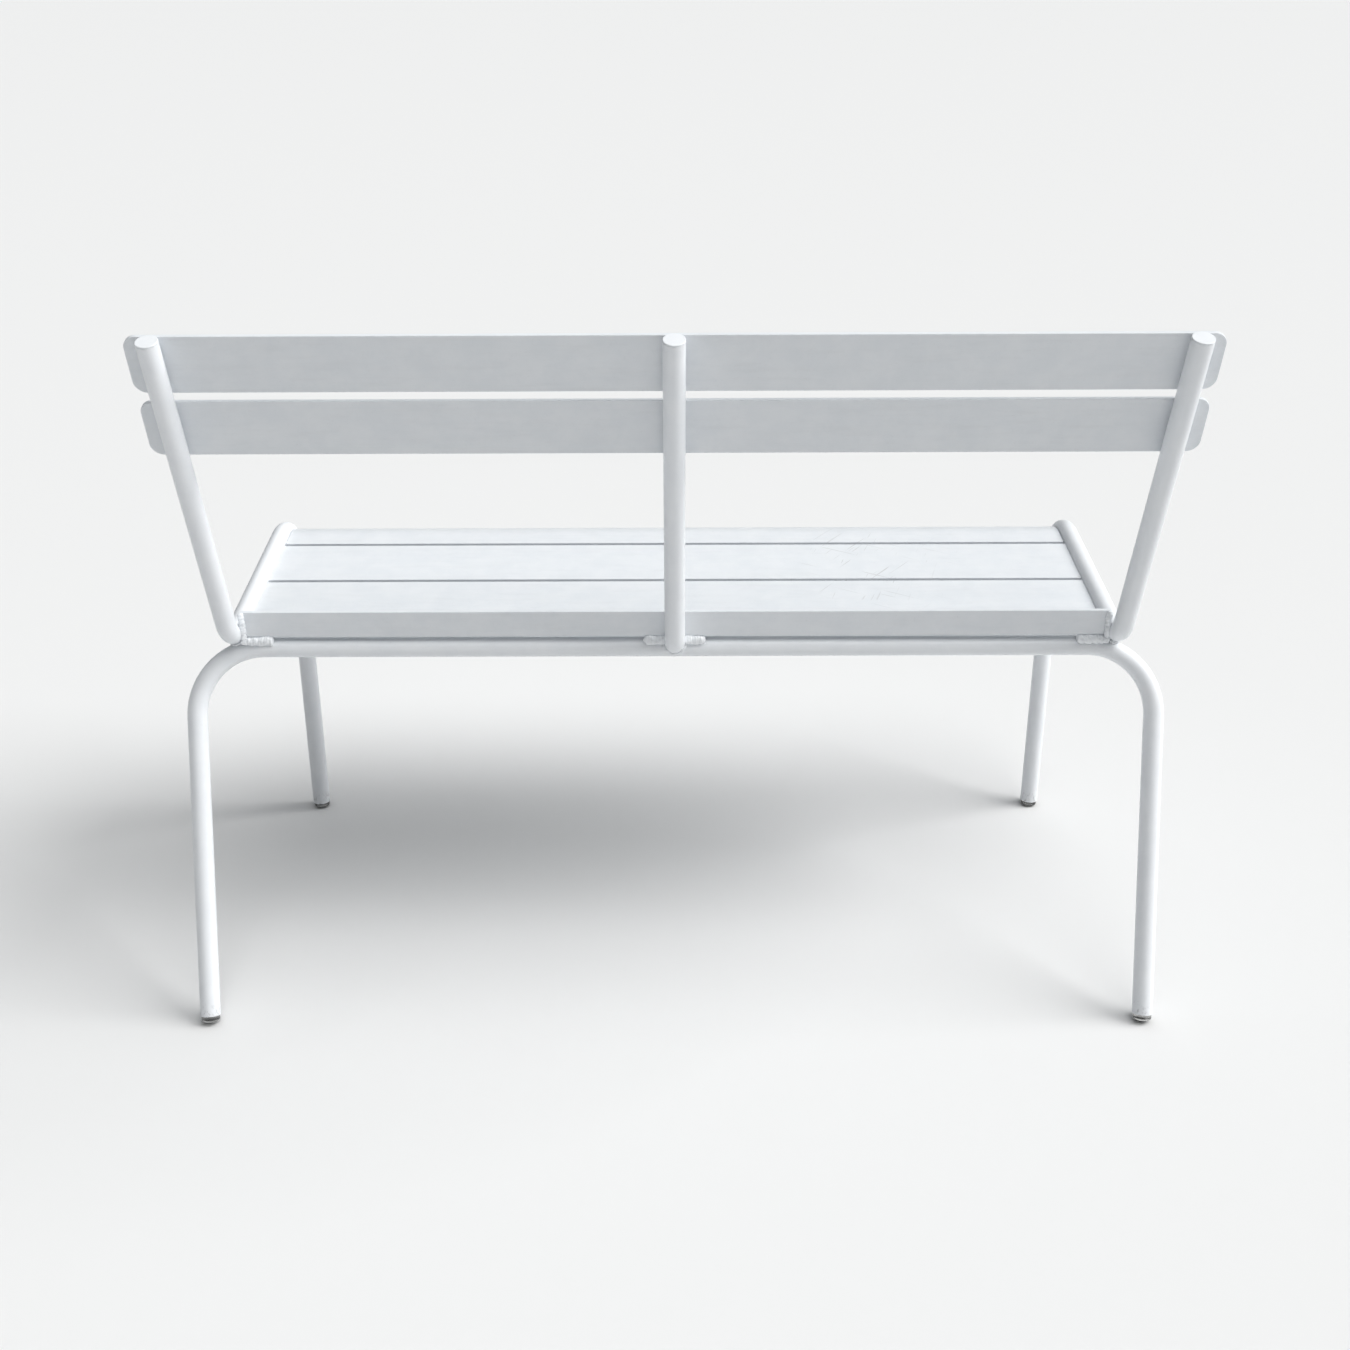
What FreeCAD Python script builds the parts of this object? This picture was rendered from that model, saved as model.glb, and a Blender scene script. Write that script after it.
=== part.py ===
# Garden bench of bent aluminium tube and flat slats, welded and powder coated.
# Z is up, the bench faces -Y and +X is the sitter's left hand.
# The origin is on the floor, in the middle of the bounding box. Units are mm and degrees.
import os
from math import cos, radians, sin, tan

import FreeCAD
import Part
import Sketcher

V = FreeCAD.Vector
doc = FreeCAD.newDocument("garden_bench")
sheet = doc.addObject("Spreadsheet::Sheet", "params")

SIZES = [
    # one round tube is used for every frame member
    ("tube_od", 25.0, "outer diameter of every tube"),
    ("tube_wall", 2.0, "tube wall"),
    # side frames: back post, seat rail and front leg are one bent tube
    ("side_x", 550.5, "rail axis of each side frame from the middle"),
    ("corner_y", 89.45, "depth of the point where post and rail lines cross"),
    ("corner_z", 442.6, "height of the point where post and rail lines cross"),
    ("side_splay", 1.15, "side frames lean outwards about their rails"),
    ("back_lean", 16.0, "lean of the posts from the vertical"),
    ("seat_slope", 3.4, "rise of the seat rails towards the front"),
    ("post_len", 436.2, "post from the crossing point to the tube end"),
    ("cap_thick", 2.0, "welded disc that closes a post"),
    ("rail_len", 369.2, "rail from the crossing point to the front corner"),
    ("seat_bend", 40.0, "centre-line radius between post and rail"),
    ("front_bend", 64.0, "centre-line radius between rail and front leg"),
    ("front_turn", 100.5, "angle turned from rail to front leg"),
    ("front_leg", 459.9, "front leg from the front corner to the tube end"),
    # rear leg frame: one tube bent to an upside-down U
    ("cross_fwd", 20.0, "crossbar forward of the post and rail crossing"),
    ("cross_gap", 19.2, "crossbar axis below the rail axis"),
    ("rear_rake", 25.99, "rear legs leaning back from the vertical"),
    ("rear_half", 603.6, "half width of the leg frame at its corners"),
    ("rear_foot_half", 583.6, "half width of the leg frame at its tube ends"),
    ("rear_leg", 460.9, "corner to tube end, along the leg plane"),
    ("rear_bend", 84.0, "centre-line radius of the leg frame corners"),
    # centre post
    ("centre_drop", 18.5, "centre post bend below the bends of the side frames"),
    ("centre_run", 44.0, "centre tube forward of its own corner"),
    # back slats
    ("back_slat_h", 72.0, "height of a back slat"),
    ("back_slat_t", 5.0, "thickness of a back slat"),
    ("back_slat_half", 590.3, "half length of a back slat"),
    ("back_slat_r", 15.0, "corner radius of a back slat"),
    ("lower_slat_s", 279.5, "lower edge of the lower slat, along the post"),
    ("upper_slat_s", 363.5, "lower edge of the upper slat, along the post"),
    ("slat_edge", 0.9, "rolled edge of every slat"),
    # seat slats, between the rails
    ("seat_slat_t", 5.0, "thickness of a seat slat"),
    ("seat_half", 537.9, "half length of a seat slat"),
    ("nose_short", 1.0, "front slat shorter at each end, where the legs come in"),
    ("seat_rise", 2.8, "slat surface above the rail axis"),
    ("gap_rear", 154.0, "gap between rear and middle slat, along the rail"),
    ("gap_front", 258.5, "gap between middle and front slat, along the rail"),
    ("slat_gap", 6.0, "width of both gaps"),
    ("flange_h", 15.0, "depth of the turned-down slat edges along the gaps"),
    ("flange_t", 2.5, "thickness of the turned-down slat edges"),
    ("lip_y", 11.5, "rear face of the lip forward of the crossing point"),
    ("lip_h", 35.7, "top of the lip above the crossing point"),
    ("lip_r", 6.0, "outer radius where the rear slat turns up"),
    ("nose_turn", 78.0, "angle the front slat turns down"),
    # support bar under the seat
    ("bearer_h", 22.0, "height of the bar under the seat"),
    ("bearer_t", 5.0, "thickness of the bar under the seat"),
    ("bearer_end", 290.0, "front end of the bar, along the rail"),
    # glides
    ("glide_d", 22.4, "visible part of a glide"),
    ("glide_h", 8.0, "visible height of a glide"),
    ("glide_dome", 4.0, "rounding of the sole"),
    ("plug_d", 20.9, "stem of a glide inside the tube"),
    ("plug_h", 18.0, "length of the stem"),
    ("bead", 3.0, "radius of a weld bead"),
]
for row, (alias, value, note) in enumerate(SIZES, start=1):
    sheet.set("A%d" % row, note)
    sheet.set("B%d" % row, str(value))
    sheet.setAlias("B%d" % row, alias)
doc.recompute()
size = {alias: float(sheet.get(alias)) for alias, value, note in SIZES}

LEAN = radians(size["back_lean"])
SLOPE = radians(size["seat_slope"])
RAKE = radians(size["rear_rake"])
R = size["tube_od"] / 2
X = V(1, 0, 0)
UP_POST = V(0, sin(LEAN), cos(LEAN))
ALONG_RAIL = V(0, -cos(SLOPE), sin(SLOPE))
RAIL_NORMAL = V(0, sin(SLOPE), cos(SLOPE))
CORNER = V(0, size["corner_y"], size["corner_z"])
CROSS = CORNER + ALONG_RAIL * size["cross_fwd"] - RAIL_NORMAL * size["cross_gap"]
POST_END = CORNER + UP_POST * size["post_len"]
nodes = []


def splay(side):
    """Turn of a side frame about its rail."""
    return FreeCAD.Rotation(ALONG_RAIL, -side * size["side_splay"])


def in_frame(side, point):
    """Where a point of the middle plane lies in the plane of a side frame."""
    return CORNER + X * (side * size["side_x"]) + splay(side).multVec(point - CORNER)


def add_node(name, obj):
    obj.Label = name
    nodes.append((name, obj))
    return obj


def new_body(name, base, tilt_deg=0.0):
    """Body at a base point, turned about X."""
    body = doc.addObject("PartDesign::Body", name)
    body.Placement = FreeCAD.Placement(base, FreeCAD.Rotation(X, tilt_deg))
    return body


def sketch_on(body, role, name):
    sketch = body.newObject("Sketcher::SketchObject", name)
    plane = next(f for f in body.Origin.OriginFeatures if f.Role == role)
    sketch.AttachmentSupport = [(plane, "")]
    sketch.MapMode = "FlatFace"
    return sketch


def number(owner, expr):
    return float(owner.evalExpression(expr))


def spot(owner, pair):
    return V(number(owner, pair[0]), number(owner, pair[1]), 0)


def bind(sketch, index, expr):
    sketch.setExpression("Constraints[%d]" % index, expr)


def pin(sketch, geo, pos, pair):
    """Hold one point of a sketch at two expressions."""
    at = spot(sketch, pair)
    for kind, value, expr in (("DistanceX", at.x, pair[0]), ("DistanceY", at.y, pair[1])):
        index = sketch.addConstraint(Sketcher.Constraint(kind, -1, 1, geo, pos, value))
        bind(sketch, index, expr)


def hold_radius(sketch, geo, expr):
    index = sketch.addConstraint(Sketcher.Constraint("Radius", geo, number(sketch, expr)))
    bind(sketch, index, expr)


def bent_path(sketch, corners, radii):
    """Lines between the corners with an arc at every inner corner."""
    points = [spot(sketch, pair) for pair in corners]
    sizes = [number(sketch, expr) for expr in radii]
    ways = [(b - a).normalize() for a, b in zip(points, points[1:])]
    cuts = [r * tan(a.getAngle(b) / 2) for r, a, b in zip(sizes, ways, ways[1:])]
    lines = []
    for k, way in enumerate(ways):
        start = points[k] + way * (cuts[k - 1] if k else 0)
        end = points[k + 1] - way * (cuts[k] if k < len(cuts) else 0)
        lines.append(sketch.addGeometry(Part.LineSegment(start, end), False))
    for k, cut in enumerate(cuts):
        corner = points[k + 1]
        enter, leave = corner - ways[k] * cut, corner + ways[k + 1] * cut
        inward = (ways[k + 1] - ways[k]).normalize()
        middle = corner + inward * ((cut ** 2 + sizes[k] ** 2) ** 0.5 - sizes[k])
        geo = sketch.addGeometry(Part.Arc(enter, middle, leave), False)
        first = 1 if sketch.getPoint(geo, 1).distanceToPoint(enter) < 1e-4 else 2
        for end, line, line_end in ((first, lines[k], 2), (3 - first, lines[k + 1], 1)):
            sketch.addConstraint(Sketcher.Constraint("Tangent", line, line_end, geo, end))
        hold_radius(sketch, geo, radii[k])
        mark = sketch.addGeometry(Part.Point(corner), True)
        for line in (lines[k], lines[k + 1]):
            sketch.addConstraint(Sketcher.Constraint("PointOnObject", mark, 1, line))
        pin(sketch, mark, 1, corners[k + 1])
    pin(sketch, lines[0], 1, corners[0])
    pin(sketch, lines[-1], 2, corners[-1])


def outline(sketch, corners, arcs):
    """Closed outline through pinned corners. An entry of arcs turns that side into an arc."""
    points = [spot(sketch, pair) for pair in corners]
    sides = []
    for k, start in enumerate(points):
        end = points[(k + 1) % len(points)]
        if k in arcs:
            radius_expr, side = arcs[k]
            radius = number(sketch, radius_expr)
            half = (end - start) * 0.5
            across = V(-half.y, half.x, 0).normalize() * side
            rise = radius - (radius ** 2 - half.Length ** 2) ** 0.5
            geo = sketch.addGeometry(Part.Arc(start, start + half + across * rise, end), False)
            hold_radius(sketch, geo, radius_expr)
            first = 1 if sketch.getPoint(geo, 1).distanceToPoint(start) < 1e-4 else 2
        else:
            geo = sketch.addGeometry(Part.LineSegment(start, end), False)
            first = 1
        sides.append((geo, first))
    for k, (geo, first) in enumerate(sides):
        after, after_first = sides[(k + 1) % len(sides)]
        sketch.addConstraint(Sketcher.Constraint("Coincident", geo, 3 - first, after, after_first))
        pin(sketch, geo, first, corners[k])


def circle(sketch, radius_expr, centre=None):
    at = spot(sketch, centre) if centre else V(0, 0, 0)
    radius = number(sketch, radius_expr)
    geo = sketch.addGeometry(Part.Circle(at, V(0, 0, 1), radius), False)
    if centre:
        pin(sketch, geo, 3, centre)
    else:
        sketch.addConstraint(Sketcher.Constraint("Coincident", geo, 3, -1, 1))
    hold_radius(sketch, geo, radius_expr)


def tube_along(body, spine, name):
    """Hollow tube swept along a spine sketch."""
    doc.recompute()
    section = body.newObject("Sketcher::SketchObject", name + "_section")
    section.AttachmentSupport = [(spine, "Edge1")]
    section.MapMode = "NormalToEdge"
    section.MapPathParameter = 0.0
    circle(section, "params.tube_od / 2")
    circle(section, "params.tube_od / 2 - params.tube_wall")
    pipe = body.newObject("PartDesign::AdditivePipe", name)
    pipe.Profile = section
    pipe.Spine = (spine, [])
    doc.recompute()
    return pipe


def pad(body, sketch, name, length_expr, midplane):
    feature = body.newObject("PartDesign::Pad", name)
    feature.Profile = sketch
    feature.Midplane = midplane
    feature.setExpression("Length", length_expr)
    doc.recompute()
    return feature


def round_edges(body, base, name, edges, radius_expr):
    feature = body.newObject("PartDesign::Fillet", name)
    feature.Base = (base, edges)
    feature.setExpression("Radius", radius_expr)
    doc.recompute()
    return feature


def all_edges(shape):
    return ["Edge%d" % k for k in range(1, len(shape.Edges) + 1)]


# ---------------------------------------------------------------- side frames
POST_TOP = ("params.post_len * sin(params.back_lean)", "params.post_len * cos(params.back_lean)")
RAIL_BEND = "(params.rail_len - params.front_bend * tan(params.front_turn / 2)"
LEG_ANGLE = "(180 - params.seat_slope + params.front_turn)"


def on_rail(length_expr, normal_expr="0"):
    """Point of the side plane by its run along the rail and its height over the rail."""
    return ("-(%s) * cos(params.seat_slope) + (%s) * sin(params.seat_slope)"
            % (length_expr, normal_expr),
            "(%s) * sin(params.seat_slope) + (%s) * cos(params.seat_slope)"
            % (length_expr, normal_expr))


def side_frame(name, side):
    """Back post, seat rail and front leg: one tube bent twice in one plane."""
    body = new_body(name, CORNER + X * (side * size["side_x"]))
    body.Placement.Rotation = splay(side)
    body.setExpression("Placement.Base.x", "%d * params.side_x" % side)
    body.setExpression("Placement.Rotation.Angle", "%d * params.side_splay" % -side)
    path = sketch_on(body, "YZ_Plane", name + "_path")
    knee = on_rail("params.rail_len")
    foot = ("%s + params.front_leg * cos%s" % (knee[0], LEG_ANGLE),
            "%s + params.front_leg * sin%s" % (knee[1], LEG_ANGLE))
    bent_path(path, [POST_TOP, ("0", "0"), knee, foot], ["params.seat_bend", "params.front_bend"])
    tube_along(body, path, name + "_tube")
    return add_node(name, body)


# ---------------------------------------------------------------- rear leg frame
def rear_leg_frame(name):
    body = new_body(name, CROSS, size["rear_rake"])
    body.setExpression("Placement.Rotation.Angle", "params.rear_rake")
    path = sketch_on(body, "XZ_Plane", name + "_path")
    corners = [("params.rear_foot_half", "-params.rear_leg"), ("params.rear_half", "0"),
               ("-params.rear_half", "0"), ("-params.rear_foot_half", "-params.rear_leg")]
    bent_path(path, corners, ["params.rear_bend", "params.rear_bend"])
    tube_along(body, path, name + "_tube")
    return add_node(name, body)


# ---------------------------------------------------------------- centre post
def centre_post(name):
    """Same tube as the side posts. Its foot fits round the crossbar and under the rear slat."""
    body = new_body(name, CORNER)
    path = sketch_on(body, "YZ_Plane", name + "_path")
    corner = ("-params.centre_drop * sin(params.back_lean)",
              "-params.centre_drop * cos(params.back_lean)")
    run = on_rail("params.centre_run")
    end = ("%s + %s" % (corner[0], run[0]), "%s + %s" % (corner[1], run[1]))
    bent_path(path, [POST_TOP, corner, end], ["params.seat_bend"])
    tube_along(body, path, name + "_tube")
    cross = on_rail("params.cross_fwd", "-params.cross_gap")
    saddle = sketch_on(body, "YZ_Plane", name + "_saddle")
    circle(saddle, "params.tube_od / 2 + 0.05", cross)
    front = sketch_on(body, "YZ_Plane", name + "_end_cut")
    far = "params.cross_fwd + 60"
    outline(front, [on_rail("params.cross_fwd", "20"), on_rail("params.cross_fwd", "-60"),
                    on_rail(far, "-60"), on_rail(far, "20")], {})
    seat = sketch_on(body, "YZ_Plane", name + "_slat_seat")
    rear, under = "(params.lip_y - 0.05)", "(params.seat_rise - params.seat_slat_t - 0.05)"
    outline(seat, [on_rail(rear, under + " + 0.05 + params.lip_r"),
                   on_rail("params.lip_y + params.lip_r", under), on_rail(far, under),
                   on_rail(far, "40"), on_rail(rear, "40")],
            {0: ("(params.lip_r + 0.05)", 1)})
    for tool in (saddle, front, seat):
        cut = body.newObject("PartDesign::Pocket", tool.Name + "_cut")
        cut.Profile = tool
        cut.Midplane = True
        cut.Length = 2 * size["tube_od"]
        cut.setExpression("Length", "2 * params.tube_od")
        doc.recompute()
    return add_node(name, body)


# ---------------------------------------------------------------- slats
def rounded_box(sketch, half_x, low, high, radius):
    """Rectangle with four round corners, from expressions."""
    left, right = "-(%s)" % half_x, "(%s)" % half_x
    corners = [("%s + %s" % (left, radius), low), ("%s - %s" % (right, radius), low),
               (right, "%s + %s" % (low, radius)), (right, "%s - %s" % (high, radius)),
               ("%s - %s" % (right, radius), high), ("%s + %s" % (left, radius), high),
               (left, "%s - %s" % (high, radius)), (left, "%s + %s" % (low, radius))]
    outline(sketch, corners, {k: (radius, -1) for k in (1, 3, 5, 7)})


def back_slat(name, low):
    body = new_body(name, CORNER, -size["back_lean"])
    body.setExpression("Placement.Rotation.Angle", "-params.back_lean")
    sketch = sketch_on(body, "XZ_Plane", name + "_outline")
    sketch.AttachmentOffset = FreeCAD.Placement(V(0, 0, R), FreeCAD.Rotation())
    sketch.setExpression("AttachmentOffset.Base.z", "params.tube_od / 2")
    rounded_box(sketch, "params.back_slat_half", low, "(%s + params.back_slat_h)" % low,
                "params.back_slat_r")
    plate = pad(body, sketch, name + "_plate", "params.back_slat_t", False)
    round_edges(body, plate, name + "_rolled", all_edges(plate.Shape), "params.slat_edge")
    return add_node(name, body)


def seat_slat(name, corners, arcs, half_expr="params.seat_half"):
    body = new_body(name, CORNER, -size["seat_slope"])
    body.setExpression("Placement.Rotation.Angle", "-params.seat_slope")
    sketch = sketch_on(body, "YZ_Plane", name + "_profile")
    outline(sketch, corners, arcs)
    plate = pad(body, sketch, name + "_plate", "2 * " + half_expr, True)
    long_edges = []
    for index, edge in enumerate(plate.Shape.Edges, start=1):
        if abs(edge.Length - 2 * number(sketch, half_expr)) < 0.01:
            long_edges.append((index, edge.CenterOfMass))
    ends = [spot(sketch, corners[k]) for k in rolled_corners(corners, arcs)]
    turn = body.Placement
    keep = []
    for index, middle in long_edges:
        for end in ends:
            if turn.multVec(V(0, end.x, end.y)).distanceToPoint(turn.multVec(middle)) < 0.01:
                keep.append("Edge%d" % index)
    round_edges(body, plate, name + "_rolled", keep, "params.slat_edge")
    return add_node(name, body)


def rolled_corners(corners, arcs):
    """Corners of the outline that no arc touches."""
    near_arc = {k for k in arcs} | {(k + 1) % len(corners) for k in arcs}
    return [k for k in range(len(corners)) if k not in near_arc]


TOP = "params.seat_rise"
UNDER = "(params.seat_rise - params.seat_slat_t)"
GAP_REAR = ["-(params.gap_rear %s params.slat_gap / 2)" % sign for sign in "-+"]
GAP_FRONT = ["-(params.gap_front %s params.slat_gap / 2)" % sign for sign in "-+"]
LIP_BEND = "-(params.lip_y + params.lip_r)"
LIP_FRONT = "-(params.lip_y + params.seat_slat_t)"
NOSE = RAIL_BEND + ")"
NOSE_OUT = "(params.front_bend + params.seat_rise)"
NOSE_IN = "(params.front_bend + params.seat_rise - params.seat_slat_t)"


def nose_end(radius):
    return ("-%s - %s * sin(params.nose_turn)" % (NOSE, radius),
            "-params.front_bend + %s * cos(params.nose_turn)" % radius)


LOW_EDGE = "(params.seat_rise - params.flange_h)"
rear_profile = [
    (GAP_REAR[0] + " + params.flange_t", UNDER), (GAP_REAR[0] + " + params.flange_t", LOW_EDGE),
    (GAP_REAR[0], LOW_EDGE), (GAP_REAR[0], TOP), (LIP_BEND, TOP),
    (LIP_FRONT, UNDER + " + params.lip_r"), (LIP_FRONT, "params.lip_h"),
    ("-params.lip_y", "params.lip_h"), ("-params.lip_y", UNDER + " + params.lip_r"),
    (LIP_BEND, UNDER)]
rear_arcs = {4: ("params.lip_r - params.seat_slat_t", -1), 8: ("params.lip_r", 1)}
middle_profile = [
    (GAP_FRONT[0] + " + params.flange_t", UNDER), (GAP_FRONT[0] + " + params.flange_t", LOW_EDGE),
    (GAP_FRONT[0], LOW_EDGE), (GAP_FRONT[0], TOP), (GAP_REAR[1], TOP), (GAP_REAR[1], LOW_EDGE),
    (GAP_REAR[1] + " - params.flange_t", LOW_EDGE), (GAP_REAR[1] + " - params.flange_t", UNDER)]
front_profile = [
    (GAP_FRONT[1] + " - params.flange_t", UNDER), ("-" + NOSE, UNDER), nose_end(NOSE_IN),
    nose_end(NOSE_OUT), ("-" + NOSE, TOP), (GAP_FRONT[1], TOP), (GAP_FRONT[1], LOW_EDGE),
    (GAP_FRONT[1] + " - params.flange_t", LOW_EDGE)]
front_arcs = {1: (NOSE_IN, -1), 3: (NOSE_OUT, 1)}


# ---------------------------------------------------------------- support bar, caps and glides
def seat_bearer(name):
    """Flat bar on edge under the middle of the seat, from the crossbar to the front slat."""
    body = new_body(name, CORNER, -size["seat_slope"])
    body.setExpression("Placement.Rotation.Angle", "-params.seat_slope")
    sketch = sketch_on(body, "YZ_Plane", name + "_profile")
    start = "-(params.cross_fwd + params.tube_od / 2 + 0.1)"
    top = LOW_EDGE + " - 0.1"
    low = top + " - params.bearer_h"
    outline(sketch, [(start, low), (start, top), ("-params.bearer_end", top),
                     ("-params.bearer_end", top + " - params.bearer_h / 3"),
                     ("-params.bearer_end + params.bearer_h", low)], {})
    pad(body, sketch, name + "_bar", "params.bearer_t", True)
    return add_node(name, body)


def post_cap(name, side):
    body = new_body(name, in_frame(side, POST_END))
    body.Placement.Rotation = splay(side) * FreeCAD.Rotation(X, -size["back_lean"])
    sketch = sketch_on(body, "XY_Plane", name + "_outline")
    circle(sketch, "params.tube_od / 2")
    disc = pad(body, sketch, name + "_disc", "params.cap_thick", False)
    rim = [("Edge%d" % k) for k, edge in enumerate(disc.Shape.Edges, start=1)
           if edge.CenterOfMass.distanceToPoint(in_frame(side, POST_END)) > size["cap_thick"] / 2
           and len(edge.Vertexes) == 1]
    round_edges(body, disc, name + "_rim", rim, "params.slat_edge")
    return add_node(name, body)


def glide(name, end, up):
    """Clear plastic foot: a stem inside the tube and a domed sole worn flat on the floor."""
    body = doc.addObject("PartDesign::Body", name + "_insert")
    body.Placement = FreeCAD.Placement(end, FreeCAD.Rotation(V(0, 0, 1), up))
    sketch = sketch_on(body, "XZ_Plane", name + "_profile")
    sole = "params.glide_d / 2"
    outline(sketch, [("0", "-params.glide_h"), (sole + " - params.glide_dome", "-params.glide_h"),
                     (sole, "-params.glide_h + params.glide_dome"), (sole, "-0.05"),
                     ("params.plug_d / 2", "-0.05"), ("params.plug_d / 2", "params.plug_h - 2"),
                     ("params.plug_d / 2 - 2", "params.plug_h"), ("0", "params.plug_h")],
            {1: ("params.glide_dome", -1)})
    spin = body.newObject("PartDesign::Revolution", name + "_turned")
    spin.Profile = sketch
    spin.ReferenceAxis = (sketch, ["V_Axis"])
    spin.Angle = 360
    doc.recompute()
    floor = doc.addObject("Part::Box", name + "_floor")
    floor.Length, floor.Width, floor.Height = 80, 80, 20
    floor.Placement.Base = V(end.x - 40, end.y - 40, -20)
    sole_cut = doc.addObject("Part::Cut", name)
    sole_cut.Base, sole_cut.Tool = body, floor
    doc.recompute()
    return add_node(name, sole_cut)


def front_foot(side):
    angle = radians(180 - size["seat_slope"] + size["front_turn"])
    way = V(0, cos(angle), sin(angle))
    end = CORNER + ALONG_RAIL * size["rail_len"] + way * size["front_leg"]
    return in_frame(side, end), splay(side).multVec(way)


def rear_foot(side):
    turn = FreeCAD.Rotation(X, size["rear_rake"])
    corner = V(side * size["rear_half"], 0, 0)
    end = V(side * size["rear_foot_half"], 0, -size["rear_leg"])
    return CROSS + turn.multVec(end), turn.multVec((end - corner).normalize())


# ---------------------------------------------------------------- weld beads
# A bead is the metal left between two members, so each one is trimmed by the members it joins.
def swept(points, radii, radius):
    """Round bar along a bent path in space."""
    ways = [(b - a).normalize() for a, b in zip(points, points[1:])]
    cuts = [r * tan(a.getAngle(b) / 2) for r, a, b in zip(radii, ways, ways[1:])]
    edges = []
    here = points[0]
    for k, cut in enumerate(cuts):
        corner = points[k + 1]
        enter, leave = corner - ways[k] * cut, corner + ways[k + 1] * cut
        inward = (ways[k + 1] - ways[k]).normalize()
        middle = corner + inward * ((cut ** 2 + radii[k] ** 2) ** 0.5 - radii[k])
        edges += [Part.makeLine(here, enter), Part.Arc(enter, middle, leave).toShape()]
        here = leave
    edges.append(Part.makeLine(here, points[-1]))
    ring = Part.Wire([Part.makeCircle(radius, points[0], ways[0])])
    return Part.Wire(edges).makePipeShell([ring], True, False)


def rail_point(run, height, x=0.0):
    return CORNER + ALONG_RAIL * run + RAIL_NORMAL * height + X * x


def side_bar(side, extra):
    points = [in_frame(side, point) for point in (POST_END, CORNER, rail_point(291, 0))]
    return swept(points, [size["seat_bend"]], R + extra)


def centre_bar(extra):
    corner = CORNER - UP_POST * size["centre_drop"]
    points = [POST_END, corner, corner + ALONG_RAIL * size["centre_run"]]
    return swept(points, [size["seat_bend"]], R + extra)


def leg_bar(extra):
    turn = FreeCAD.Rotation(X, size["rear_rake"])
    foot = -size["rear_leg"]
    shape = [(1, "rear_foot_half", foot), (1, "rear_half", 0.0),
             (-1, "rear_half", 0.0), (-1, "rear_foot_half", foot)]
    points = [CROSS + turn.multVec(V(side * size[key], 0, drop)) for side, key, drop in shape]
    return swept(points, [size["rear_bend"]] * 2, R + extra)


def capsule(a, b, radius):
    rod = Part.makeCylinder(radius, (b - a).Length, a, b - a)
    return rod.fuse([Part.makeSphere(radius, a), Part.makeSphere(radius, b)]).removeSplitter()


def add_weld(name, pieces, members):
    """One node from beads, trimmed by solid copies of the members they join."""
    kept = []
    for piece in pieces:
        trimmed = piece.cut(members)
        kept += [solid for solid in trimmed.Solids if solid.Volume > 1.0]
    weld = doc.addObject("Part::Feature", name)
    weld.Shape = kept[0] if len(kept) == 1 else Part.makeCompound(kept)
    return add_node(name, weld)


def all_welds():
    bead = size["bead"]
    slats = [obj.Shape for name, obj in nodes if name.startswith(("seat_slat", "back_slat"))]
    cross = leg_bar(0.02)
    cross_fat = leg_bar(0.8 * bead)
    under = size["seat_rise"] - size["seat_slat_t"]
    lip_run = size["lip_y"]
    # the seam is as far from the underside of the slat as from the crossbar, and laps onto both
    seam_run = lip_run + 1.0
    fall = size["cross_gap"]
    seam_height = (((under + R) ** 2 - (size["cross_fwd"] - seam_run) ** 2 - fall ** 2)
                   / (2 * (under + R + fall)))
    seam_radius = under - seam_height + 1.6
    centre = centre_bar(0.02)
    for word, side in (("left", 1), ("right", -1)):
        bar = side_bar(side, 0.02)
        edge = side * (size["seat_half"] - 1.0)
        base = side_bar(side, 0.8 * bead).common(cross_fat)
        post_base = add_weld("weld_post_base_" + word, [base], [bar, cross] + slats)
        lip_end = capsule(rail_point(lip_run - 1, 1.0, edge),
                          rail_point(lip_run - 1, size["lip_h"] - 4, edge), bead)
        end_weld = add_weld("weld_lip_end_" + word, [lip_end],
                            [bar, cross, post_base.Shape] + slats)
        seam = capsule(rail_point(seam_run, seam_height, edge),
                       rail_point(seam_run, seam_height, edge - side * 31.0), seam_radius)
        add_weld("weld_lip_seam_" + word, [seam],
                 [bar, cross, post_base.Shape, end_weld.Shape] + slats)
        rows = []
        for first, last in ((60, 135), (175, 240), (270, 286)):
            rows.append(capsule(rail_point(first, under - 0.6, side * size["seat_half"]),
                                rail_point(last, under - 0.6, side * size["seat_half"]),
                                0.8 * bead))
        add_weld("weld_seat_" + word, rows, [bar] + slats)
    ring = centre_bar(0.7 * bead).common(leg_bar(0.7 * bead))
    foot = add_weld("weld_centre_foot", [ring], [centre, cross] + slats)
    seams = [capsule(rail_point(seam_run, seam_height, side * 14.0),
                     rail_point(seam_run, seam_height, side * 33.0), seam_radius)
             for side in (1, -1)]
    add_weld("weld_lip_seam_centre", seams, [centre, cross, foot.Shape] + slats)
    for word, place in (("left", 1), ("centre", 0), ("right", -1)):
        root, top = in_frame(place, CORNER), in_frame(place, POST_END)
        bar = Part.makeCylinder(R + 0.02, size["post_len"], root, top - root)
        beads = []
        for low in (size["lower_slat_s"], size["upper_slat_s"]):
            for side in (1, -1):
                start = CORNER + UP_POST * (low + 6) + X * (side * 4.5)
                start += V(0, -cos(LEAN), sin(LEAN)) * (R - 1.0)
                end = start + UP_POST * (size["back_slat_h"] - 12)
                beads.append(capsule(in_frame(place, start), in_frame(place, end), 0.6 * bead))
        add_weld("weld_back_" + word, beads, [bar] + slats)


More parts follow.
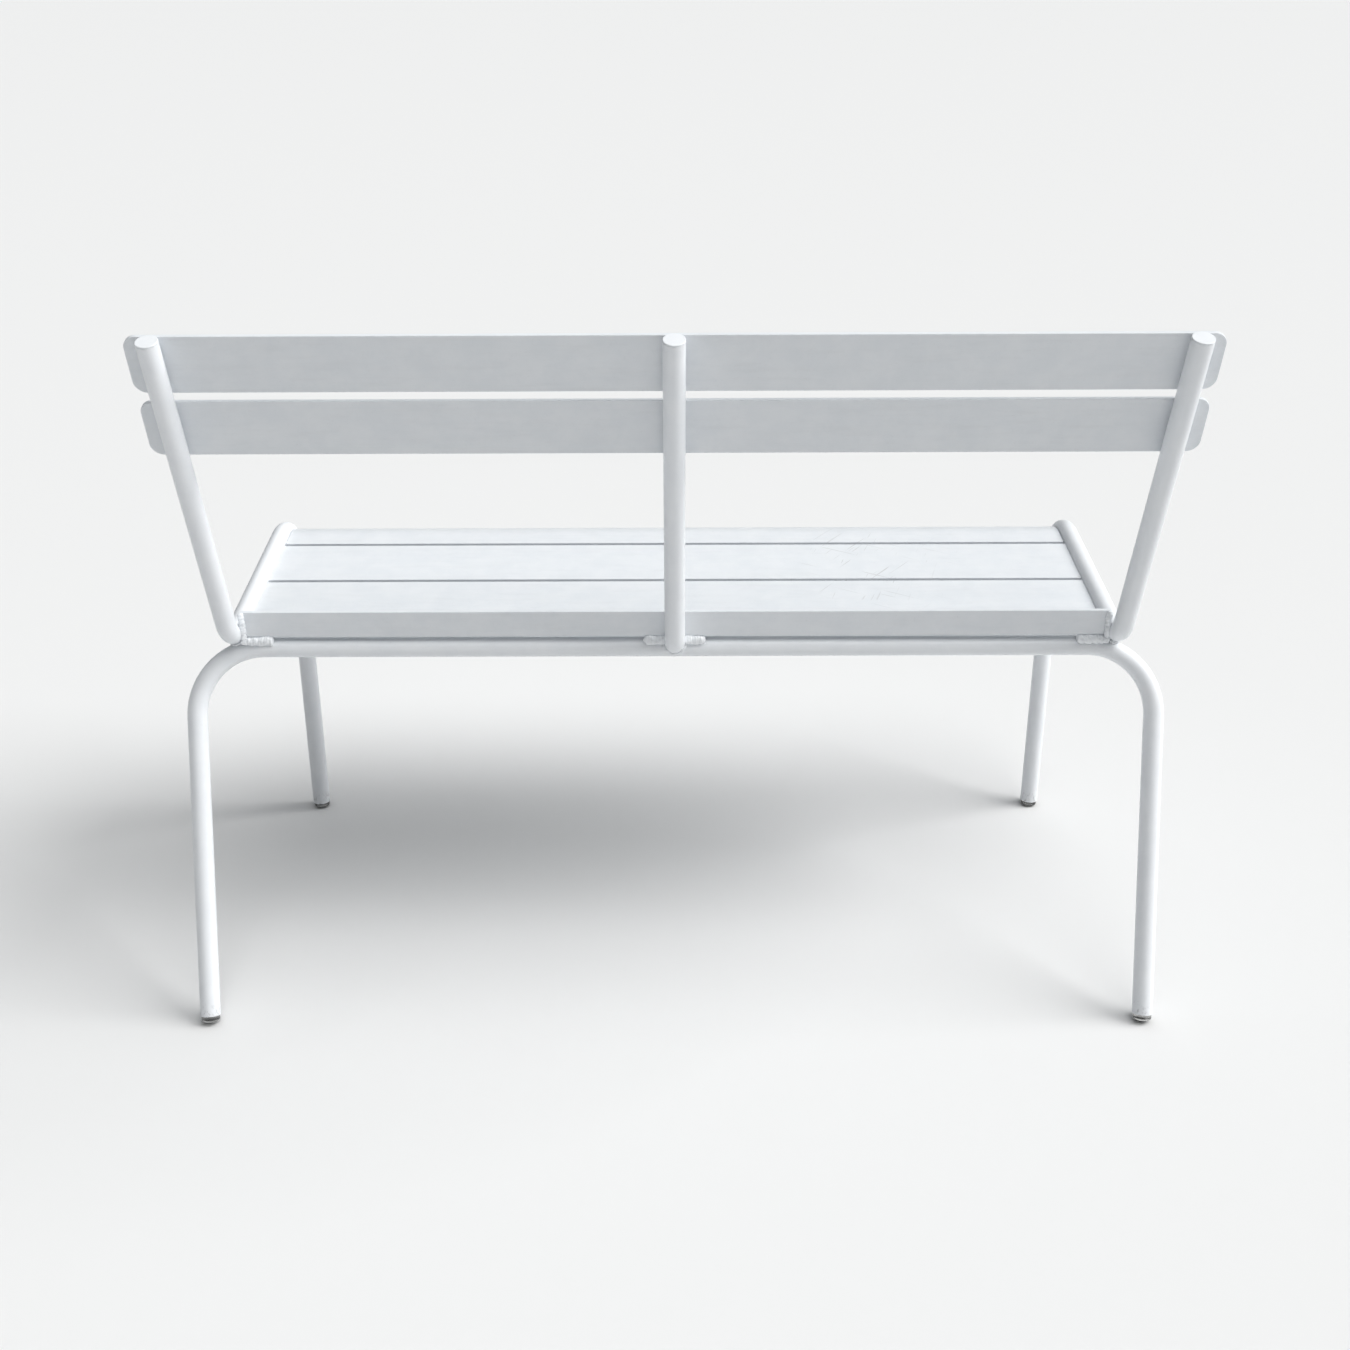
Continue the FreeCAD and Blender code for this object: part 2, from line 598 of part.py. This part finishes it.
for side_name, side_sign in (("left", 1), ("right", -1)):
    side_frame(side_name + "_side_frame", side_sign)
rear_leg_frame("rear_leg_frame")
centre_post("centre_post")
back_slat("back_slat_upper", "params.upper_slat_s")
back_slat("back_slat_lower", "params.lower_slat_s")
seat_slat("seat_slat_rear", rear_profile, rear_arcs)
seat_slat("seat_slat_middle", middle_profile, {})
seat_slat("seat_slat_front", front_profile, front_arcs,
          "(params.seat_half - params.nose_short)")
seat_bearer("seat_bearer")
for cap_name, cap_side in (("left", 1), ("centre", 0), ("right", -1)):
    post_cap("post_cap_" + cap_name, cap_side)
for foot_name, foot_side in (("left", 1), ("right", -1)):
    for place, find in (("front", front_foot), ("rear", rear_foot)):
        foot_end, foot_way = find(foot_side)
        glide("glide_%s_%s" % (place, foot_name), foot_end, foot_way * -1)
all_welds()

doc.recompute()
for member in doc.Objects:
    if "Invalid" in member.State or "Error" in member.State:
        raise RuntimeError("broken feature: " + member.Name)
os.makedirs("parts", exist_ok=True)
for node_name, node in nodes:
    if node.Shape.isNull() or not node.Shape.isValid() or not node.Shape.Solids:
        raise RuntimeError("bad shape: " + node_name)
    node.Shape.exportStep(os.path.join("parts", node_name + ".step"))
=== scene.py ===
import math

import bpy
from mathutils import Euler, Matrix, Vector, noise


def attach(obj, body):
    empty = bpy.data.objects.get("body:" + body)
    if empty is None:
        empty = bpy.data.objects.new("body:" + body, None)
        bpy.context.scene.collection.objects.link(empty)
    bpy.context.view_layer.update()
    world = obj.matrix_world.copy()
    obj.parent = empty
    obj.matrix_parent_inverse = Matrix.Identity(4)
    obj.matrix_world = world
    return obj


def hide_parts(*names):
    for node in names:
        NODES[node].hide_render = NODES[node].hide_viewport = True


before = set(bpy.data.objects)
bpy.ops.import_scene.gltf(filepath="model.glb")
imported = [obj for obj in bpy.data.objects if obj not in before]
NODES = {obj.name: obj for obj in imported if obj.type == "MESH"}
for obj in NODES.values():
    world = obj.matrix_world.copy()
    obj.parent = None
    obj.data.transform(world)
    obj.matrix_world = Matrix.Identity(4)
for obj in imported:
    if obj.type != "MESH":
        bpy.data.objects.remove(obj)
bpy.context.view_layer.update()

# The bench stands in its own frame: +Z up, the sitter faces -Y, +X is the sitter's left.
# All lengths are metres and all angles degrees.

MM = 0.001

# ---------------------------------------------------------------- camera

CAMERA_AT = (0.002, 1.8467, 1.350)
CAMERA_DOWN = 25.53
CAMERA_TURN = 180.157
CAMERA_ROLL = 0.26
CAMERA_LENS = 42.55
SENSOR = 36.0
SHIFT = (0.0067, -0.0618)


def make_camera():
    """A standing person's view of the bench from behind, looking down at the seat."""
    data = bpy.data.cameras.new("camera")
    data.sensor_width = SENSOR
    data.lens = CAMERA_LENS
    data.shift_x, data.shift_y = SHIFT
    data.clip_start = 0.05
    data.clip_end = 200.0
    camera = bpy.data.objects.new("camera", data)
    camera.location = CAMERA_AT
    tilt = math.radians(90.0 - CAMERA_DOWN)
    camera.rotation_euler = Euler((tilt, math.radians(CAMERA_ROLL), math.radians(CAMERA_TURN)))
    bpy.context.scene.collection.objects.link(camera)
    bpy.context.scene.camera = camera


# ---------------------------------------------------------------- node helpers

def node(tree, kind, inputs=None, **settings):
    """Adds a shader node, sets its properties, then fills or links its inputs."""
    made = tree.nodes.new("ShaderNode" + kind)
    for name, value in settings.items():
        setattr(made, name, value)
    for name, value in (inputs or {}).items():
        socket = made.inputs[name]
        if isinstance(value, bpy.types.NodeSocket):
            tree.links.new(value, socket)
        else:
            socket.default_value = value
    return made


def maths(tree, operation, first, second=0.0, third=0.0, clamp=False):
    """One Math node of up to three inputs."""
    made = node(tree, "Math", {0: first, 1: second, 2: third}, operation=operation)
    made.use_clamp = clamp
    return made.outputs[0]


def spread(tree, value, low, high, to_low=0.0, to_high=1.0):
    """Maps a value from low..high to to_low..to_high, with smooth ends."""
    made = node(tree, "MapRange", {
        "Value": value, "From Min": low, "From Max": high, "To Min": to_low, "To Max": to_high,
    }, interpolation_type="SMOOTHSTEP")
    return made.outputs["Result"]


def place(tree, stretch=(1.0, 1.0, 1.0)):
    """Object coordinates in metres, stretched."""
    coords = node(tree, "TexCoord")
    moved = node(tree, "Mapping", {"Vector": coords.outputs["Object"], "Scale": stretch})
    return moved.outputs["Vector"]


def cloud(tree, vector, scale, detail=2.0, rough=0.5, distort=0.0):
    """A noise texture's value, about 0.5 on average."""
    made = node(tree, "TexNoise", {
        "Vector": vector, "Scale": scale, "Detail": detail, "Roughness": rough, "Distortion": distort,
    })
    return made.outputs["Fac"]


def blend_colour(tree, factor, first, second):
    """Mixes two colours by a factor."""
    made = tree.nodes.new("ShaderNodeMix")
    made.data_type = "RGBA"
    for socket, value in ((0, factor), (6, first), (7, second)):
        if isinstance(value, bpy.types.NodeSocket):
            tree.links.new(value, made.inputs[socket])
        else:
            made.inputs[socket].default_value = value
    return made.outputs[2]


def new_material(name):
    """An empty node material with its output and Principled shader."""
    material = bpy.data.materials.new(name)
    material.use_nodes = True
    tree = material.node_tree
    tree.nodes.clear()
    shader = node(tree, "BsdfPrincipled")
    output = node(tree, "OutputMaterial")
    tree.links.new(shader.outputs["BSDF"], output.inputs["Surface"])
    return material, tree, shader


# ---------------------------------------------------------------- materials

# Each coat is a pair of shades that the mottling drifts between.
SLAT_SHADES = ((0.815, 0.840, 0.868, 1.0), (0.850, 0.870, 0.893, 1.0))
# The tube shades are the slat coat painted lighter: painted light on the frame's tubes and welds, which
# share the slats' coat.
TUBE_SHADES_PAINTED_LIGHT = ((0.880, 0.900, 0.925, 1.0), (0.905, 0.922, 0.942, 1.0))
GRIME = (0.42, 0.41, 0.40, 1.0)
# Painted shade: the dark colour mixed into the tube coat near the floor at the tube ends.
FOOT_SHADE_COLOUR = (0.30, 0.30, 0.31, 1.0)
PLASTIC_SHADES = ((0.80, 0.80, 0.79, 1.0), (0.90, 0.90, 0.89, 1.0))

# Sizes of the textures, in cells per metre.
MOTTLE_CELLS = 26.0
GLOSS_CELLS = 70.0
HAZE_CELLS = 160.0
RIPPLE_CELLS = 260.0
SCUFF_AND_SHADE_CELLS = 330.0
DUST_CELLS = 420.0
PEEL_CELLS = 850.0

COAT_IOR = 1.5
PLASTIC_IOR = 1.49
PLASTIC_CLEAR = 0.9
ROUGH_LOW, ROUGH_HIGH = 0.36, 0.46
DUST_AMOUNT = 0.10
STREAK_AMOUNT = 0.05
SCRATCH_AMOUNT = 0.35
# Strength of the painted shade near the floor at the tube ends.
FOOT_SHADE_AMOUNT = 0.5
LUMP_BUMP = 0.5

# Worn coat and painted shade, darker towards the floor, run from the tube end up to here.
SCUFF_AND_SHADE_LOW, SCUFF_AND_SHADE_TOP = 0.008, 0.036

# Where sitting has rubbed the seat: a patch with a solid core and a soft rim.
RUB_CENTRE = (-0.25, -0.10, 0.46)
RUB_CORE, RUB_REACH = 0.03, 0.16
HAIR_STRETCH = (0.045, 1.0, 1.0)
HAIR_TURNS = ((0.5, 260.0), (-0.9, 210.0), (1.9, 300.0))


def height_of(tree):
    """Height above the floor, in metres."""
    return node(tree, "SeparateXYZ", {"Vector": place(tree)}).outputs["Z"]


def foot_scuffs_and_shade(tree):
    """Amount of worn coat and painted contact shade: a rough band just above the tube ends, darker
    towards the floor and fading upwards.
    """
    low = spread(tree, height_of(tree), SCUFF_AND_SHADE_LOW, SCUFF_AND_SHADE_TOP, 1.0, 0.0)
    upright = place(tree, (1.0, 1.0, 0.35))
    scuff_and_shade_patches = cloud(tree, upright, SCUFF_AND_SHADE_CELLS, detail=4.0, rough=0.7, distort=0.6)
    return maths(tree, "MULTIPLY", low, spread(tree, scuff_and_shade_patches, 0.52, 0.66))


def seat_scratches(tree):
    """Amount of scratch: a patch of fine crossing lines where the seat has been rubbed."""
    offset = node(tree, "VectorMath", {0: place(tree), 1: RUB_CENTRE}, operation="DISTANCE")
    patch = spread(tree, offset.outputs["Value"], RUB_CORE, RUB_REACH, 1.0, 0.0)
    lines = None
    for turn, cells in HAIR_TURNS:
        coords = node(tree, "TexCoord")
        turned = node(tree, "VectorRotate", {"Vector": coords.outputs["Object"], "Angle": turn},
                      rotation_type="Z_AXIS")
        drawn = node(tree, "Mapping", {"Vector": turned.outputs["Vector"], "Scale": HAIR_STRETCH})
        hair = spread(tree, cloud(tree, drawn.outputs["Vector"], cells, detail=1.0), 0.70, 0.76)
        lines = hair if lines is None else maths(tree, "MAXIMUM", lines, hair)
    return maths(tree, "MULTIPLY", patch, lines)


def powder_coat(name, shades, streaks=0.0, lumps=0.0, scuffed_and_shaded=False, scratched=False):
    """White satin powder coat with orange peel, mottling and dust, and the wear and painted shade asked
    for.
    """
    material, tree, shader = new_material(name)
    plain = place(tree)
    mottle = cloud(tree, plain, MOTTLE_CELLS, detail=5.0, rough=0.7)
    colour = blend_colour(tree, spread(tree, mottle, 0.3, 0.7), *shades)
    dust = cloud(tree, plain, DUST_CELLS, detail=3.0, rough=0.6)
    colour = blend_colour(tree, spread(tree, dust, 0.60, 0.80, 0.0, DUST_AMOUNT), colour, GRIME)
    if streaks:
        rubbed = cloud(tree, place(tree, (5.0, 40.0, 40.0)), 3.0, detail=4.0, rough=0.6)
        amount = spread(tree, rubbed, 0.45, 0.80, 0.0, streaks)
        colour = blend_colour(tree, amount, colour, GRIME)
    gloss = cloud(tree, plain, GLOSS_CELLS, detail=3.0)
    rough = spread(tree, gloss, 0.3, 0.7, ROUGH_LOW, ROUGH_HIGH)
    peel = cloud(tree, plain, PEEL_CELLS, detail=2.0)
    bump = node(tree, "Bump", {"Strength": 0.25, "Distance": 0.15 * MM, "Height": peel})
    if scuffed_and_shaded:
        # Painted shade: the coat darkens near the floor at the tube ends; the bump is the worn coat's
        # real roughened band.
        worn_and_shaded = foot_scuffs_and_shade(tree)
        colour = blend_colour(tree, maths(tree, "MULTIPLY", worn_and_shaded, FOOT_SHADE_AMOUNT), colour, FOOT_SHADE_COLOUR)
        bump = node(tree, "Bump", {
            "Strength": 0.7, "Distance": 0.5 * MM, "Height": worn_and_shaded, "Normal": bump.outputs["Normal"],
        })
    if scratched:
        cut = seat_scratches(tree)
        colour = blend_colour(tree, maths(tree, "MULTIPLY", cut, SCRATCH_AMOUNT), colour, GRIME)
        rough = maths(tree, "MULTIPLY_ADD", cut, 0.2, rough)
    if lumps:
        ripple = cloud(tree, plain, RIPPLE_CELLS, detail=2.0)
        bump = node(tree, "Bump", {
            "Strength": lumps, "Distance": 0.6 * MM, "Height": ripple,
            "Normal": bump.outputs["Normal"],
        })
    tree.links.new(colour, shader.inputs["Base Color"])
    tree.links.new(rough, shader.inputs["Roughness"])
    shader.inputs["IOR"].default_value = COAT_IOR
    tree.links.new(bump.outputs["Normal"], shader.inputs["Normal"])
    return material


def clear_plastic():
    """Clear moulded plastic of the glides."""
    material, tree, shader = new_material("clear_plastic")
    haze = cloud(tree, place(tree), HAZE_CELLS, detail=3.0)
    tree.links.new(spread(tree, haze, 0.35, 0.7, 0.06, 0.2), shader.inputs["Roughness"])
    tint = blend_colour(tree, haze, *PLASTIC_SHADES)
    tree.links.new(tint, shader.inputs["Base Color"])
    shader.inputs["Transmission Weight"].default_value = PLASTIC_CLEAR
    shader.inputs["IOR"].default_value = PLASTIC_IOR
    return material


def make_coats():
    """One material for each slot of the record."""
    return {
        # Tubes and welds take the lighter shades, painted light over the same coat as the slats.
        "tube_coat": powder_coat("tube_powder_coat_painted_light", TUBE_SHADES_PAINTED_LIGHT, scuffed_and_shaded=True),
        "slat_coat": powder_coat("slat_powder_coat", SLAT_SHADES, streaks=STREAK_AMOUNT, scratched=True),
        "weld_coat": powder_coat("weld_powder_coat_painted_light", TUBE_SHADES_PAINTED_LIGHT, lumps=LUMP_BUMP),
        "glide_plastic": clear_plastic(),
    }


def dress(coats):
    """Gives every CAD node its material."""
    for part in NODES.values():
        for slot in part.material_slots:
            for name, coat in coats.items():
                if slot.material.name.startswith(name):
                    slot.material = coat


# ---------------------------------------------------------------- weld beads

GRAIN = 0.7 * MM
GROW = 1.1 * MM
LUMP = 1.5 * MM
LUMP_SIZE = 5.0 * MM
RIPPLE = 0.28 * MM
RIPPLE_PITCH = 3.4 * MM
WANDER = 3.0


def remeshed(source):
    """An even, closed skin over a CAD bead, as a new mesh."""
    holder = bpy.data.objects.new("bead_source", source.data.copy())
    bpy.context.scene.collection.objects.link(holder)
    skin = holder.modifiers.new("skin", "REMESH")
    skin.mode = "VOXEL"
    skin.voxel_size = GRAIN
    smooth = holder.modifiers.new("smooth", "SMOOTH")
    smooth.iterations = 2
    graph = bpy.context.evaluated_depsgraph_get()
    mesh = bpy.data.meshes.new_from_object(holder.evaluated_get(graph))
    bpy.data.objects.remove(holder)
    return mesh


def weld_bead(name, coat):
    """A bead laid by hand: swollen over the edges it joins, lumpy and rippled along its run."""
    mesh = remeshed(NODES[name])
    places = [v.co.copy() for v in mesh.vertices]
    spans = [max(at[k] for at in places) - min(at[k] for at in places) for k in range(3)]
    run = spans.index(max(spans))
    normals = [v.normal.copy() for v in mesh.vertices]
    for vertex, at, normal in zip(mesh.vertices, places, normals):
        lump = noise.noise(at / LUMP_SIZE) * LUMP
        wander = WANDER * noise.noise(at / (3.0 * LUMP_SIZE))
        ripple = math.sin(at[run] / RIPPLE_PITCH * math.tau + wander)
        vertex.co = at + normal * (GROW + lump + ripple * RIPPLE)
    for polygon in mesh.polygons:
        polygon.use_smooth = True
    mesh.materials.clear()
    mesh.materials.append(coat)
    piece = bpy.data.objects.new(name + "_bead", mesh)
    bpy.context.scene.collection.objects.link(piece)
    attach(piece, "root")
    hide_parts(name)


def lay_welds(coat):
    """Every weld bead of the bench."""
    for name in sorted(NODES):
        if name.startswith("weld_"):
            weld_bead(name, coat)


# ---------------------------------------------------------------- floor and light

FLOOR_RADIUS = 60.0
FLOOR_SIDES = 96
FLOOR_GREY = (0.825, 0.825, 0.825, 1.0)
FLOOR_ROUGH = 0.9
FLOOR_SHINE = 0.1
ROOM_TINT = (0.96, 0.985, 1.0, 1.0)
ROOM_WALL = 0.065
ROOM_TOP = 0.68
SUN_COLOUR = (1.0, 0.995, 0.985)
SUN_WIDTH = 40.0
KEY_FROM = (-0.72, 0.02, 0.58)
KEY_POWER = 2.36
TOP_FROM = (-0.22, 0.26, 0.90)
TOP_POWER = 0.80


def make_floor():
    """A plain pale floor that runs out of sight."""
    bpy.ops.mesh.primitive_circle_add(vertices=FLOOR_SIDES, radius=FLOOR_RADIUS, fill_type="NGON")
    floor = bpy.context.object
    floor.name = "floor"
    material, tree, shader = new_material("floor")
    shader.inputs["Base Color"].default_value = FLOOR_GREY
    shader.inputs["Roughness"].default_value = FLOOR_ROUGH
    shader.inputs["Specular IOR Level"].default_value = FLOOR_SHINE
    floor.data.materials.append(material)


def sun(name, direction, power):
    """A distant soft light that shines from a direction."""
    data = bpy.data.lights.new(name, "SUN")
    data.angle = math.radians(SUN_WIDTH)
    data.energy = power
    data.color = SUN_COLOUR
    lamp = bpy.data.objects.new(name, data)
    lamp.rotation_euler = Vector(direction).to_track_quat("Z", "Y").to_euler()
    bpy.context.scene.collection.objects.link(lamp)


def make_light():
    """Soft studio light: a room lit from overhead, a wide key from the sitter's right, a top light."""
    world = bpy.data.worlds.new("studio")
    world.use_nodes = True
    tree = world.node_tree
    tree.nodes.clear()
    direction = node(tree, "TexCoord").outputs["Generated"]
    height = node(tree, "SeparateXYZ", {"Vector": direction}).outputs["Z"]
    overhead = maths(tree, "POWER", maths(tree, "MAXIMUM", height, 0.0), 2.0)
    strength = maths(tree, "MULTIPLY_ADD", overhead, ROOM_TOP, ROOM_WALL)
    room = node(tree, "Background", {"Color": ROOM_TINT, "Strength": strength})
    output = node(tree, "OutputWorld")
    tree.links.new(room.outputs[0], output.inputs["Surface"])
    bpy.context.scene.world = world
    sun("key", KEY_FROM, KEY_POWER)
    sun("top", TOP_FROM, TOP_POWER)


VIEW_GAMMA = 0.8

make_camera()
coats = make_coats()
dress(coats)
lay_welds(coats["weld_coat"])
make_floor()
make_light()

view = bpy.context.scene.view_settings
view.view_transform = "Standard"
view.gamma = VIEW_GAMMA
view.exposure = 0.0
